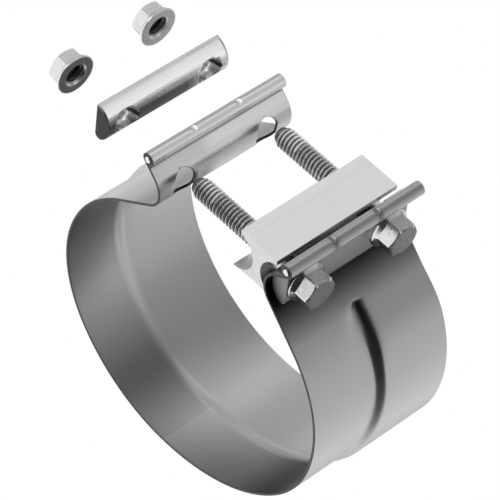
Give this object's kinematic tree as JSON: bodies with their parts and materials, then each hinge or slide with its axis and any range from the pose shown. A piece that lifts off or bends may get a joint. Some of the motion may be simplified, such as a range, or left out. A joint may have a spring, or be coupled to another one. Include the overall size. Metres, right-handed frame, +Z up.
{
  "type": "exhaust pipe clamp",
  "caption": "Pre-formed lap-joint exhaust band clamp, open: stepped band with rolled loops, half-round bars, spacer block, bolts and nuts.",
  "frame": {"origin": "on the bore axis at the middle of the band's width", "axes": "+Y along the bore towards the raised land, +Z up through the gap, +X along the bolts towards their heads"},
  "size_m": [0.1795, 0.073, 0.1687],
  "materials": {
    "band": "satin stainless sheet",
    "rod": "bright drawn wire",
    "bar": "bright rolled, sheared ends",
    "block": "satin extruded",
    "fastener": "bright zinc plate"
  },
  "bodies": {
    "band": {"band": "band", "rod_left": "rod"},
    "right_end": {"rod_right": "rod"},
    "bolt_frame": {"bar_right": "bar"},
    "block": {"spacer_block": "block"},
    "bolt_f": {"bolt_front": "fastener"},
    "bolt_b": {"bolt_back": "fastener"},
    "bar": {"bar_left": "bar"},
    "nut_f": {"nut_front": "fastener"},
    "nut_b": {"nut_back": "fastener"}
  },
  "joints": [
    {"name": "band_close", "type": "hinge", "parent": "band", "child": "right_end", "pos_m": [0.02813, 0, -0.049], "axis": [0, -1, 0], "range_deg": [0, 22.4], "stiffness_Nm_per_rad": 6.2, "deforming": ["band"]},
    {"name": "bar_rock", "type": "hinge", "parent": "right_end", "child": "bolt_frame", "pos_m": [0.0478, 0, 0.0743], "axis": [0, 1, 0], "range_deg": [0, 16]},
    {"name": "block_shift", "type": "slide", "parent": "bolt_frame", "child": "block", "axis": [1, 0, 0], "range_m": [0, 0.0012]},
    {"name": "bolt_front_turn", "type": "hinge", "parent": "bolt_frame", "child": "bolt_f", "pos_m": [0.046, -0.0225, 0.0743], "axis": [1, 0, 0], "continuous": true},
    {"name": "bolt_back_turn", "type": "hinge", "parent": "bolt_frame", "child": "bolt_b", "pos_m": [0.046, 0.0225, 0.0743], "axis": [1, 0, 0], "continuous": true},
    {"name": "bar_fit", "type": "slide", "parent": "bolt_frame", "child": "bar", "axis": [1, 0, 0], "range_m": [0, 0.0804]},
    {"name": "nut_front_run", "type": "slide", "parent": "bar", "child": "nut_f", "axis": [1, 0, 0], "range_m": [0, 0.0243]},
    {"name": "nut_back_run", "type": "slide", "parent": "bar", "child": "nut_b", "axis": [1, 0, 0], "range_m": [0, 0.0243]}
  ],
  "couplings": [
    {"joint": "bar_rock", "follows": "band_close", "ratio": 0.7071},
    {"joint": "bar_fit", "follows": "band_close", "m_per_rad": 0.2054}
  ]
}
